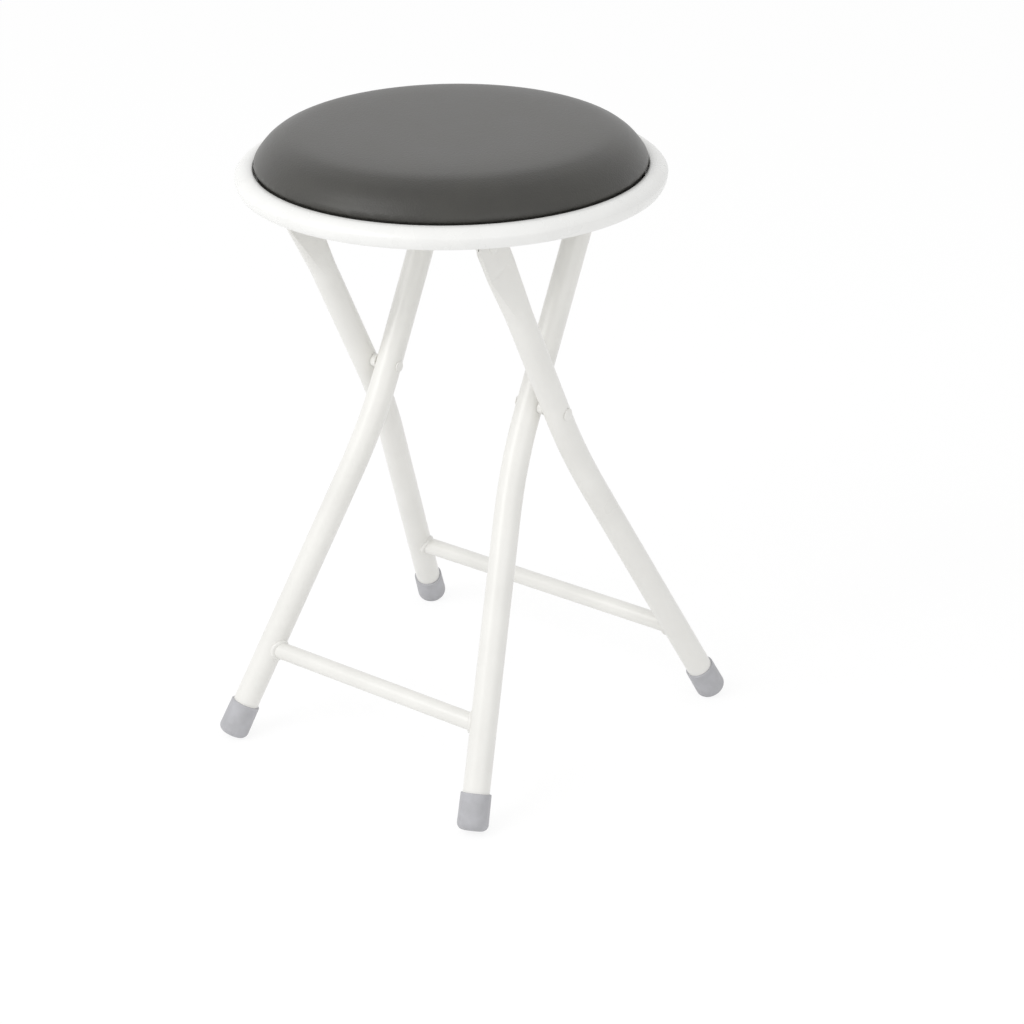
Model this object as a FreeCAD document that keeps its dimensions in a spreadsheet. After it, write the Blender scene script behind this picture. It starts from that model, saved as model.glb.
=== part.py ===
import FreeCAD, Part
import math
import os
import re

import Sketcher
from FreeCAD import Placement, Rotation, Vector

# Folding stool, open, standing on the floor. X runs along the pivots, Y along the fold, Z up.
# The origin lies on the floor under the middle of the seat. Sizes are millimetres and degrees.
SIZES = {
    # Round tube of both frames, and where the frames cross
    "tube_diameter": 19.1,
    "tube_wall": 1.2,
    "frame_lean": 27.07,
    "pivot_height": 267,
    "pivot_setback": 4,
    "outer_half_width": 87.75,
    "cross_gap": 4.45,
    # Outward bend of the legs below the crossing
    "bend_drop": 44,
    "bend_radius": 400,
    "leg_splay": 10.95,
    # Upper pivots: flattened tops of the outer legs, round tips of the inner legs
    "hinge_rise": 160.5,
    "blade_width": 28.4,
    "blade_length": 21,
    "blade_taper": 45,
    "blade_edge": 0.6,
    "blade_play": 0.4,
    "press_gap": 0.8,
    "tip_play": 0.8,
    "plug_head": 2.2,
    "plug_play": 0.9,
    # Crossbars, measured down the frames from the crossing
    "bar_diameter": 12.7,
    "bar_wall": 1,
    "inner_bar_drop": 225.7,
    "outer_bar_drop": 227.2,
    # Foot caps, measured up the leg from the floor
    "cap_diameter": 22.4,
    "cap_mouth_diameter": 21.8,
    "cap_length": 26,
    "cap_lift": 3,
    "cap_floor": 4,
    "cap_round": 5,
    # Rivets, washers and spacers
    "rivet_diameter": 6,
    "rivet_head": 9,
    "rivet_head_height": 1.6,
    "rivet_tail_height": 0.8,
    "rivet_rim": 0.4,
    "tail_spread": 1.25,
    "running_clearance": 0.05,
    "washer_diameter": 14,
    "spacer_diameter": 9.5,
    "spacer_play": 0.15,
    # Side rails under the pan
    "rail_wall": 1.6,
    "rail_length": 157,
    "rail_nose": 5,
    "rail_drop": 12.4,
    "rail_slope": 55,
    "rail_corner": 9,
    "flange_width": 20,
    "flange_length": 118,
    # Links between the rails and the inner frame
    "link_reach": 72.53,
    "link_play": 0.4,
    "link_width": 15,
    "link_thickness": 1.6,
    "link_gap": 1,
    "stud_head_height": 0.6,
    # Lock clips on the rails
    "clip_start": 14,
    "clip_length": 32,
    "clip_foot": 11,
    "clip_ramp": 4,
    "clip_rise": 5,
    "clip_height": 12,
    "clip_thickness": 0.8,
    "clip_play": 0.3,
    "clip_rivet_diameter": 4,
    "clip_rivet_head": 7,
    "detent_diameter": 6,
    # Seat pan
    "pan_radius": 150,
    "pan_plate": 2,
    "pan_wall": 2.6,
    "rim_lip": 2.9,
    "rim_edge": 7.9,
    "rim_rise": 10.3,
    "rim_foot_inset": 2.4,
    "rim_crest_inset": 12,
    "rim_crest_round": 1.1,
    "rim_top_radius": 11,
    "rib_depth": 2.8,
    "rib_thickness": 1.8,
    "rib_ring_radius": 48,
    "rib_count": 16,
    "gusset_thickness": 1.6,
    "gusset_count": 24,
    "landing_margin": 4,
    # Screws from the rails into the board
    "screw_diameter": 4,
    "screw_head": 8,
    "screw_head_height": 2.4,
    "screw_skin": 1,
    "screw_edge": 14,
    # Padding
    "board_thickness": 6,
    "board_play": 1.1,
    "cover_thickness": 1,
    "cover_hem": 18,
    "cushion_gap": 1.4,
    "cushion_draw_in": 1.4,
    "cushion_lift": 3.5,
    "cushion_side_radius": 12,
    "cushion_side_turn": 34.4,
    "cushion_shoulder": 35,
    "cushion_crown_slope": 1.6,
}

doc = FreeCAD.newDocument("folding_stool")
sheet = doc.addObject("Spreadsheet::Sheet", "sizes")
for row, (name, number) in enumerate(SIZES.items(), start=1):
    sheet.set(f"A{row}", name)
    sheet.set(f"B{row}", str(number))
    sheet.setAlias(f"B{row}", name)
doc.recompute()

nodes = []


def bind(expression):
    """Turns each size name in an expression into a reference to its cell."""
    def cell(word):
        return f"sizes.{word[0]}" if word[0] in SIZES else word[0]
    return re.sub(r"[a-z_]+", cell, expression)


def value(expression):
    return float(sheet.evalExpression(bind(expression)))


def on_side(side, expression):
    """The expression on the right side (side 1), or its negative on the left side (side -1)."""
    return f"{side} * ({expression})"


# Places that several pieces share
HINGE_Y = "(pivot_setback - hinge_rise * sin(frame_lean))"
HINGE_Z = "(pivot_height + hinge_rise * cos(frame_lean))"
TIP_Y = "(pivot_setback + hinge_rise * sin(frame_lean))"
LINK_Y = f"({HINGE_Y} + link_reach)"
FLOOR_DROP = "(pivot_height / cos(frame_lean))"
FOOT_RUN = f"(({FLOOR_DROP} - bend_drop) * tan(leg_splay))"
TUBE_BORE = "(tube_diameter - 2 * tube_wall)"
INNER_HALF_WIDTH = "(outer_half_width - tube_diameter - cross_gap)"
TUBE_INSIDE = f"({INNER_HALF_WIDTH} - tube_diameter / 2)"
TUBE_SIDE = f"({INNER_HALF_WIDTH} + tube_diameter / 2)"
LINK_INSIDE = f"({TUBE_SIDE} + link_play)"
LINK_FACE = f"({LINK_INSIDE} + link_thickness)"
RAIL_INSIDE = f"({LINK_FACE} + link_gap)"
RAIL_FACE = f"({RAIL_INSIDE} + rail_wall)"
OUTER_INSIDE = "(outer_half_width - tube_diameter / 2)"
OUTER_SIDE = "(outer_half_width + tube_diameter / 2)"
BLADE_HALF = "(tube_wall + press_gap / 2)"
BLADE_INSIDE = f"(outer_half_width - {BLADE_HALF})"
BLADE_SIDE = f"(outer_half_width + {BLADE_HALF})"
PAN_RISE = "(blade_width / 2 + blade_play)"
TIP_ROOM = f"({PAN_RISE} - tip_play - tube_diameter / 2 * sin(frame_lean))"
TIP_REACH = f"({TIP_ROOM} / cos(frame_lean) - plug_head)"
PLUG_STEM = f"({TIP_REACH} - rivet_diameter / 2 - plug_play)"
PAN_BOTTOM = f"({HINGE_Z} + {PAN_RISE})"
PAN_TOP = f"({PAN_BOTTOM} + pan_plate)"
RIM_BOTTOM = f"({PAN_BOTTOM} - rim_lip)"
RIM_WIDEST = f"({RIM_BOTTOM} + rim_edge)"
RIM_TOP = f"({PAN_BOTTOM} + rim_rise)"
RIM_SIDE = "((rim_foot_inset ^ 2 + rim_edge ^ 2) / (2 * rim_foot_inset))"
RIM_CREST = "(pan_radius - rim_crest_inset)"
WELL = f"({RIM_CREST} - rim_crest_round)"
BOARD_BOTTOM = f"({PAN_TOP} + cover_thickness)"
BOARD_TOP = f"({BOARD_BOTTOM} + board_thickness)"
CUSHION_RADIUS = f"({WELL} - cushion_gap)"
CUSHION_BASE = f"({CUSHION_RADIUS} - cushion_draw_in)"
WORLD = Placement()


def frame_place(direction):
    """Plane of a frame: X across, Y up along the legs, origin at the crossing. 1 outer, -1 inner."""
    base = Vector(0, value("pivot_setback"), value("pivot_height"))
    return Placement(base, Rotation(Vector(1, 0, 0), 90 + direction * value("frame_lean")))


def new_body(label, place=WORLD):
    body = doc.addObject("PartDesign::Body", label)
    body.Label = label
    body.Placement = place
    return body


def finish(body):
    nodes.append(body)
    return body


def new_sketch(body, role, offset="0"):
    sketch = body.newObject("Sketcher::SketchObject", "sketch")
    plane = [item for item in body.Origin.OriginFeatures if item.Role == role]
    sketch.AttachmentSupport = [(plane[0], "")]
    sketch.MapMode = "FlatFace"
    sketch.setExpression("AttachmentOffset.Base.z", bind(offset))
    return sketch


def drive(sketch, kind, expression, *where):
    """Adds a dimension that follows the sheet."""
    index = sketch.addConstraint(Sketcher.Constraint(kind, *where, value(expression)))
    sketch.setExpression(f"Constraints[{index}]", bind(expression))


def arc_through(start, end, radius):
    """Arc of under a half circle from start to end. A positive radius turns left."""
    chord = end - start
    half = chord.Length / 2
    sagitta = abs(radius) - math.sqrt(max(radius * radius - half * half, 0))
    across = Vector(chord.y, -chord.x, 0).normalize() * math.copysign(sagitta, radius)
    middle = (start + end) * 0.5 + across
    return Part.Arc(start, middle, end) if radius > 0 else Part.Arc(end, middle, start)


def outline(sketch, corners, closed=True):
    """Edges from corner to corner. A third entry is the radius of the arc to the next corner."""
    points = [Vector(value(corner[0]), value(corner[1]), 0) for corner in corners]
    count = len(corners) if closed else len(corners) - 1
    ends = []
    for index in range(count):
        start = points[index]
        end = points[(index + 1) % len(points)]
        if len(corners[index]) == 2:
            edge = sketch.addGeometry(Part.LineSegment(start, end), False)
            ends.append((edge, 1, 2))
            continue
        radius = corners[index][2]
        turns_left = value(radius) > 0
        edge = sketch.addGeometry(arc_through(start, end, value(radius)), False)
        ends.append((edge, 1, 2) if turns_left else (edge, 2, 1))
        drive(sketch, "Radius", f"abs({radius})", edge)
    for index, (edge, first, last) in enumerate(ends):
        drive(sketch, "DistanceX", corners[index][0], -1, 1, edge, first)
        drive(sketch, "DistanceY", corners[index][1], -1, 1, edge, first)
        if index + 1 < count or closed:
            following, its_first, _ = ends[(index + 1) % count]
            sketch.addConstraint(Sketcher.Constraint("Coincident", edge, last, following, its_first))
    if not closed:
        edge, _, last = ends[-1]
        drive(sketch, "DistanceX", corners[-1][0], -1, 1, edge, last)
        drive(sketch, "DistanceY", corners[-1][1], -1, 1, edge, last)
    return sketch


def circle(sketch, across, along, diameter):
    centre = Vector(value(across), value(along), 0)
    ring = sketch.addGeometry(Part.Circle(centre, Vector(0, 0, 1), value(diameter) / 2), False)
    drive(sketch, "DistanceX", across, -1, 1, ring, 3)
    drive(sketch, "DistanceY", along, -1, 1, ring, 3)
    drive(sketch, "Diameter", diameter, ring)
    return sketch


def pad(body, sketch, length, backwards=False, both_ways=False):
    feature = body.newObject("PartDesign::Pad", "pad")
    feature.Profile = sketch
    feature.setExpression("Length", bind(length))
    feature.Reversed = backwards
    feature.SideType = "Symmetric" if both_ways else "One side"
    return feature


def cut(body, sketch, length=None, backwards=False):
    """Pocket of a given depth, or right through both ways, which has to remove something."""
    doc.recompute()
    before = body.Shape.Volume
    feature = body.newObject("PartDesign::Pocket", "pocket")
    feature.Profile = sketch
    if length is None:
        feature.Type = "ThroughAll"
        feature.SideType = "Symmetric"
    else:
        feature.setExpression("Length", bind(length))
        feature.Reversed = backwards
    doc.recompute()
    if body.Shape.Volume > before - 0.01:
        raise RuntimeError(f"a cut in {body.Label} removes nothing")
    return feature


def revolve(body, sketch, axis="V_Axis"):
    feature = body.newObject("PartDesign::Revolution", "revolution")
    feature.Profile = sketch
    feature.ReferenceAxis = (sketch, [axis])
    feature.Angle = 360
    return feature


def repeat_round(body, features, count):
    """Repeats features about the vertical axis of the body."""
    axis = [item for item in body.Origin.OriginFeatures if item.Role == "Z_Axis"]
    pattern = body.newObject("PartDesign::PolarPattern", "pattern")
    pattern.Originals = features
    pattern.Axis = (axis[0], [""])
    pattern.Angle = 360
    pattern.setExpression("Occurrences", bind(count))
    body.Tip = pattern
    return pattern


def plate(body, side, inner_face, thickness, corners):
    """Flat plate square to X, drawn in Y and Z, thickened away from the middle of the stool."""
    sketch = outline(new_sketch(body, "YZ_Plane", on_side(side, inner_face)), corners)
    return pad(body, sketch, thickness, backwards=side < 0)


def bores(body, diameter, *centres):
    """Holes right through along X."""
    sketch = new_sketch(body, "YZ_Plane")
    for along, up in centres:
        circle(sketch, along, up, diameter)
    return cut(body, sketch)


def ring(label, place, side, start, length, outer, inner):
    """Washer or spacer round the X axis of its place."""
    body = new_body(label, place)
    sketch = new_sketch(body, "YZ_Plane", on_side(side, start))
    circle(sketch, "0", "0", outer)
    circle(sketch, "0", "0", inner)
    pad(body, sketch, length, backwards=side < 0)
    return finish(body)


def rivet(label, place, side, start, end, shank, head, head_height, tail_height=None):
    """Rivet along X from start to end: a domed head past the end and, if given, a flat tail."""
    body = new_body(label, place)
    radius = f"{head} / 2"
    rise = f"({head_height} - rivet_rim)"
    dome = on_side(side, f"(({radius}) ^ 2 + {rise} ^ 2) / (2 * {rise})")
    corners = [
        (on_side(side, f"{end} + {head_height}"), "0", dome),
        (on_side(side, f"{end} + rivet_rim"), radius),
        (on_side(side, end), radius),
        (on_side(side, end), f"{shank} / 2"),
        (on_side(side, start), f"{shank} / 2"),
    ]
    if tail_height is None:
        corners.append((on_side(side, start), "0"))
    else:
        tail = f"{shank} / 2 * tail_spread"
        corners.append((on_side(side, start), tail))
        corners.append((on_side(side, f"{start} - {tail_height}"), tail))
        corners.append((on_side(side, f"{start} - {tail_height}"), "0"))
    revolve(body, outline(new_sketch(body, "XY_Plane"), corners), "H_Axis")
    return finish(body)


SIDES = (("left", -1), ("right", 1))
CROSSING = Placement(Vector(0, value("pivot_setback"), value("pivot_height")), Rotation())
HINGE = Placement(Vector(0, value(HINGE_Y), value(HINGE_Z)), Rotation())
TIP = Placement(Vector(0, value(TIP_Y), value(HINGE_Z)), Rotation())
LINK_PIVOT = Placement(Vector(0, value(LINK_Y), value(HINGE_Z)), Rotation())
RIVET_HOLE = "rivet_diameter + 2 * running_clearance"


def leg_tube(body, side, half_width, top):
    """Sweeps the tube down the straight upper leg, round the outward bend and to the foot."""
    bend_start = "(bend_radius * tan(leg_splay / 2) - bend_drop)"
    path = outline(new_sketch(body, "XY_Plane"), [
        (on_side(side, half_width), top),
        (on_side(side, half_width), bend_start, on_side(side, "bend_radius")),
        (on_side(side, f"{half_width} + bend_radius * (1 - cos(leg_splay))"),
         f"{bend_start} - bend_radius * sin(leg_splay)"),
        (on_side(side, f"{half_width} + {FOOT_RUN} - (cap_lift + cap_floor) * sin(leg_splay)"),
         f"(cap_lift + cap_floor) * cos(leg_splay) - {FLOOR_DROP}"),
    ], closed=False)
    profile = new_sketch(body, "XZ_Plane", f"-({top})")
    circle(profile, on_side(side, half_width), "0", "tube_diameter")
    circle(profile, on_side(side, half_width), "0", TUBE_BORE)
    doc.recompute()
    tube = body.newObject("PartDesign::AdditivePipe", "tube")
    tube.Profile = profile
    tube.Spine = (path, ["Edge1", "Edge2", "Edge3"])
    return tube


def quarter_circle(body, side, level, radius):
    """Section of the round tube in quarters, which face the four edges of the pressed section."""
    quarter = f"({radius}) * sqrt(0.5)"
    bend = on_side(side, radius)
    near = on_side(side, f"outer_half_width - {quarter}")
    far = on_side(side, f"outer_half_width + {quarter}")
    return outline(new_sketch(body, "XZ_Plane", f"-{level}"), [
        (near, f"-{quarter}", bend),
        (far, f"-{quarter}", bend),
        (far, quarter, bend),
        (near, quarter, bend),
    ])


def slot_section(body, side, level, half_thickness, reach, edge_radius):
    """Section of the pressed tube: two flats joined by rounded edges."""
    edge = on_side(side, edge_radius)
    near = on_side(side, f"outer_half_width - {half_thickness}")
    far = on_side(side, f"outer_half_width + {half_thickness}")
    return outline(new_sketch(body, "XZ_Plane", f"-{level}"), [
        (near, f"-{reach}", edge),
        (far, f"-{reach}"),
        (far, reach, edge),
        (near, reach),
    ])


def press_in(body, kind, round_end, flat_end):
    """Straight-sided passage between the round and the pressed section."""
    doc.recompute()
    loft = body.newObject(kind, "taper")
    loft.Profile = round_end
    loft.Sections = [flat_end]
    loft.Ruled = True
    doc.recompute()
    return loft


def outer_leg(name, side):
    """Outer leg: the tube runs into a flattened blade, which carries the seat rivet."""
    body = new_body(f"outer_{name}_leg", frame_place(1))
    blade_start = "(hinge_rise - blade_length)"
    tube_top = f"({blade_start} - blade_taper)"
    leg_tube(body, side, "outer_half_width", tube_top)
    round_end = quarter_circle(body, side, tube_top, "tube_diameter / 2")
    # The folded edges of the pressed tube bulge out to the full blade width
    edge = f"({BLADE_HALF} + blade_edge)"
    reach = f"(blade_width / 2 - {edge} + sqrt({edge} ^ 2 - {BLADE_HALF} ^ 2))"
    flat_end = slot_section(body, side, blade_start, BLADE_HALF, reach, edge)
    press_in(body, "PartDesign::AdditiveLoft", round_end, flat_end)
    pad(body, flat_end, "blade_length + blade_width / 2", backwards=True)
    bore_end = quarter_circle(body, side, tube_top, f"{TUBE_BORE} / 2")
    slit_half = "(press_gap / 2)"
    slit_end = slot_section(body, side, blade_start, slit_half, f"({reach} - tube_wall)", "press_gap")
    press_in(body, "PartDesign::SubtractiveLoft", bore_end, slit_end)
    cut(body, slit_end, "blade_length + blade_width", backwards=False)
    # Round end of the blade, concentric with the seat rivet
    half = "blade_width / 2"
    beyond = "blade_width"
    cut(body, outline(new_sketch(body, "YZ_Plane"), [
        ("hinge_rise", f"-{half}", half),
        (f"hinge_rise + {half}", "0", half),
        ("hinge_rise", half),
        ("hinge_rise", beyond),
        (f"hinge_rise + {beyond}", beyond),
        (f"hinge_rise + {beyond}", f"-{beyond}"),
        ("hinge_rise", f"-{beyond}"),
    ]))
    bores(body, RIVET_HOLE, ("0", "0"), ("hinge_rise", "0"))
    return finish(body)


def inner_leg(name, side):
    """Inner leg: the tube stays round to its tip, just under the pan."""
    body = new_body(f"inner_{name}_leg", frame_place(-1))
    leg_tube(body, side, INNER_HALF_WIDTH, f"hinge_rise + {TIP_REACH}")
    bores(body, RIVET_HOLE, ("0", "0"), ("hinge_rise", "0"))
    return finish(body)


def tip_plug(name, side):
    """Domed plug pressed into the upper end of an inner leg, just under the pan."""
    tube_end = Vector(side * value(INNER_HALF_WIDTH), value(f"hinge_rise + {TIP_REACH}"), 0)
    body = new_body(f"inner_{name}_plug", frame_place(-1) * Placement(tube_end, Rotation()))
    rise = "(plug_head - rivet_rim)"
    dome = f"((tube_diameter / 2) ^ 2 + {rise} ^ 2) / (2 * {rise})"
    revolve(body, outline(new_sketch(body, "XY_Plane"), [
        ("0", f"-{PLUG_STEM}"),
        (f"{TUBE_BORE} / 2", f"-{PLUG_STEM}"),
        (f"{TUBE_BORE} / 2", "0"),
        ("tube_diameter / 2", "0"),
        ("tube_diameter / 2", "rivet_rim", dome),
        ("0", "plug_head"),
    ]))
    return finish(body)


def crossbar(label, direction, half_width, drop):
    """Crossbar tube with its ends coped to the round of the two legs."""
    place = frame_place(direction)
    along_x = Rotation(Vector(0, 1, 0), 90)
    axis_half = f"({half_width} + ({drop} - bend_drop) * tan(leg_splay))"
    start = place * Placement(Vector(-value(axis_half), -value(drop), 0), along_x)
    solids = {}
    for part_name, diameter in (("bar", "bar_diameter"), ("bore", "bar_diameter - 2 * bar_wall")):
        rod = doc.addObject("Part::Cylinder", f"{label}_{part_name}")
        rod.setExpression("Radius", bind(f"({diameter}) / 2"))
        rod.setExpression("Height", bind(f"2 * {axis_half}"))
        rod.Placement = start
        solids[part_name] = rod
    tools = [solids["bore"]]
    for name, side in SIDES:
        round_leg = doc.addObject("Part::Cylinder", f"{label}_{name}_cope")
        round_leg.setExpression("Radius", bind("tube_diameter / 2"))
        round_leg.setExpression("Height", bind("4 * tube_diameter"))
        lean_out = Rotation(Vector(0, 0, 1), side * value("leg_splay"))
        up_leg = lean_out * Rotation(Vector(1, 0, 0), -90)
        centre = Vector(side * value(axis_half), -value(drop), 0)
        down = up_leg.multVec(Vector(0, 0, -value("2 * tube_diameter")))
        round_leg.Placement = place * Placement(centre + down, up_leg)
        tools.append(round_leg)
    waste = doc.addObject("Part::MultiFuse", f"{label}_waste")
    waste.Shapes = tools
    bar = doc.addObject("Part::Cut", label)
    bar.Label = label
    bar.Base = solids["bar"]
    bar.Tool = waste
    return finish(bar)


floor = doc.addObject("Part::Box", "floor")
floor.setExpression("Length", bind("4 * pan_radius"))
floor.setExpression("Width", bind("4 * pan_radius"))
floor.setExpression("Height", bind("cap_diameter"))
floor_corner = Vector(-value("2 * pan_radius"), -value("2 * pan_radius"), -value("cap_diameter"))
floor.Placement = Placement(floor_corner, Rotation())


def foot_cap(label, direction, side, half_width):
    """Moulded cup on the foot of a leg, flat where it stands on the floor."""
    foot = Vector(side * value(f"{half_width} + {FOOT_RUN}"), -value(FLOOR_DROP), 0)
    up_leg = Rotation(Vector(0, 0, 1), side * value("leg_splay"))
    cup = new_body(f"{label}_cup", frame_place(direction) * Placement(foot, up_leg))
    revolve(cup, outline(new_sketch(cup, "XY_Plane"), [
        ("0", "cap_lift"),
        ("cap_diameter / 2 - cap_round", "cap_lift", "cap_round"),
        ("cap_diameter / 2", "cap_lift + cap_round"),
        ("cap_mouth_diameter / 2", "cap_lift + cap_length - rivet_rim"),
        ("cap_mouth_diameter / 2 - rivet_rim", "cap_lift + cap_length"),
        ("tube_diameter / 2", "cap_lift + cap_length"),
        ("tube_diameter / 2", "cap_lift + cap_floor"),
        ("0", "cap_lift + cap_floor"),
    ]))
    cap = doc.addObject("Part::Cut", label)
    cap.Label = label
    cap.Base = cup
    cap.Tool = floor
    return finish(cap)


def rail(name, side):
    """Pressed steel rail: an upright web with a round nose at the hinge and an inward flange."""
    body = new_body(f"{name}_rail")
    bottom = f"({HINGE_Z} - rail_drop)"
    back = f"({HINGE_Y} - rail_nose)"
    front = f"({HINGE_Y} + rail_length)"
    plate(body, side, RAIL_INSIDE, "rail_wall", [
        (back, PAN_BOTTOM),
        (back, HINGE_Z, "rail_nose"),
        (HINGE_Y, f"{HINGE_Z} - rail_nose"),
        (f"{HINGE_Y} + rail_slope", bottom),
        (f"{front} - rail_corner", bottom, "rail_corner"),
        (front, f"{bottom} + rail_corner"),
        (front, PAN_BOTTOM),
    ])
    flange = outline(new_sketch(body, "XY_Plane", f"{PAN_BOTTOM} - rail_wall"), [
        (on_side(side, RAIL_FACE), back),
        (on_side(side, RAIL_FACE), f"{back} + flange_length"),
        (on_side(side, f"{RAIL_FACE} - flange_width"), f"{back} + flange_length"),
        (on_side(side, f"{RAIL_FACE} - flange_width"), back),
    ])
    pad(body, flange, "rail_wall")
    screw_holes = new_sketch(body, "XY_Plane", PAN_BOTTOM)
    for across, along in screw_places(side):
        circle(screw_holes, across, along, "screw_diameter")
    cut(body, screw_holes, "2 * rail_wall")
    bores(body, RIVET_HOLE, (HINGE_Y, HINGE_Z))
    bores(body, "rivet_diameter", (LINK_Y, HINGE_Z))
    foot_middle = f"{LINK_Y} + clip_start + clip_length - clip_foot / 2"
    bores(body, "clip_rivet_diameter", (foot_middle, HINGE_Z))
    # Window through which the nose of the lock clip reaches the link
    gap = "clip_ramp / 2"
    half = "(clip_height / 2 + clip_play)"
    window = outline(new_sketch(body, "YZ_Plane"), [
        (f"{LINK_Y} + clip_start - {gap}", f"{HINGE_Z} - {half}"),
        (f"{LINK_Y} + clip_start + clip_ramp + {gap}", f"{HINGE_Z} - {half}"),
        (f"{LINK_Y} + clip_start + clip_ramp + {gap}", f"{HINGE_Z} + {half}"),
        (f"{LINK_Y} + clip_start - {gap}", f"{HINGE_Z} + {half}"),
    ])
    cut(body, window)
    return finish(body)


def screw_places(side):
    """Middle of the flange, near both ends and halfway."""
    across = on_side(side, f"{RAIL_FACE} - flange_width / 2 - rail_wall / 2")
    back = f"{HINGE_Y} - rail_nose"
    steps = ("screw_edge", "flange_length / 2", "flange_length - screw_edge")
    return [(across, f"{back} + {step}") for step in steps]


def link(name, side):
    """Flat link with round ends, turning on the rail, with a detent hole for the lock clip."""
    body = new_body(f"{name}_link")
    half = "link_width / 2"
    plate(body, side, LINK_INSIDE, "link_thickness", [
        (LINK_Y, f"{HINGE_Z} - {half}"),
        (TIP_Y, f"{HINGE_Z} - {half}", half),
        (f"{TIP_Y} + {half}", HINGE_Z, half),
        (TIP_Y, f"{HINGE_Z} + {half}"),
        (LINK_Y, f"{HINGE_Z} + {half}", half),
        (f"{LINK_Y} - {half}", HINGE_Z, half),
    ])
    bores(body, RIVET_HOLE, (LINK_Y, HINGE_Z))
    bores(body, "rivet_diameter", (TIP_Y, HINGE_Z))
    bores(body, "detent_diameter", (f"{LINK_Y} + clip_start + clip_ramp / 2", HINGE_Z))
    return finish(body)


def lock_clip(name, side):
    """Bent spring strip: a foot riveted to the rail, a raised bow and a nose beside the link."""
    body = new_body(f"{name}_lock_clip")
    nose = f"{LINK_Y} + clip_start"
    foot = f"{nose} + clip_length"
    nose_face = f"{LINK_FACE} + clip_play"
    bow = f"{RAIL_FACE} + clip_rise"
    bend = "clip_thickness / 2"
    sketch = outline(new_sketch(body, "XY_Plane", HINGE_Z), [
        (on_side(side, RAIL_FACE), foot),
        (on_side(side, RAIL_FACE), f"{foot} - clip_foot"),
        (on_side(side, bow), f"{foot} - clip_foot - clip_ramp"),
        (on_side(side, bow), f"{nose} + clip_ramp"),
        (on_side(side, nose_face), f"{nose} + clip_thickness"),
        (on_side(side, nose_face), f"{nose}"),
        (on_side(side, f"{bow} + clip_thickness"), f"{nose} + clip_ramp - {bend}"),
        (on_side(side, f"{bow} + clip_thickness"), f"{foot} - clip_foot - clip_ramp + {bend}"),
        (on_side(side, f"{RAIL_FACE} + clip_thickness"), f"{foot} - clip_foot + {bend}"),
        (on_side(side, f"{RAIL_FACE} + clip_thickness"), foot),
    ])
    pad(body, sketch, "clip_height", both_ways=True)
    bores(body, "clip_rivet_diameter", (f"{foot} - clip_foot / 2", HINGE_Z))
    return finish(body)


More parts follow.
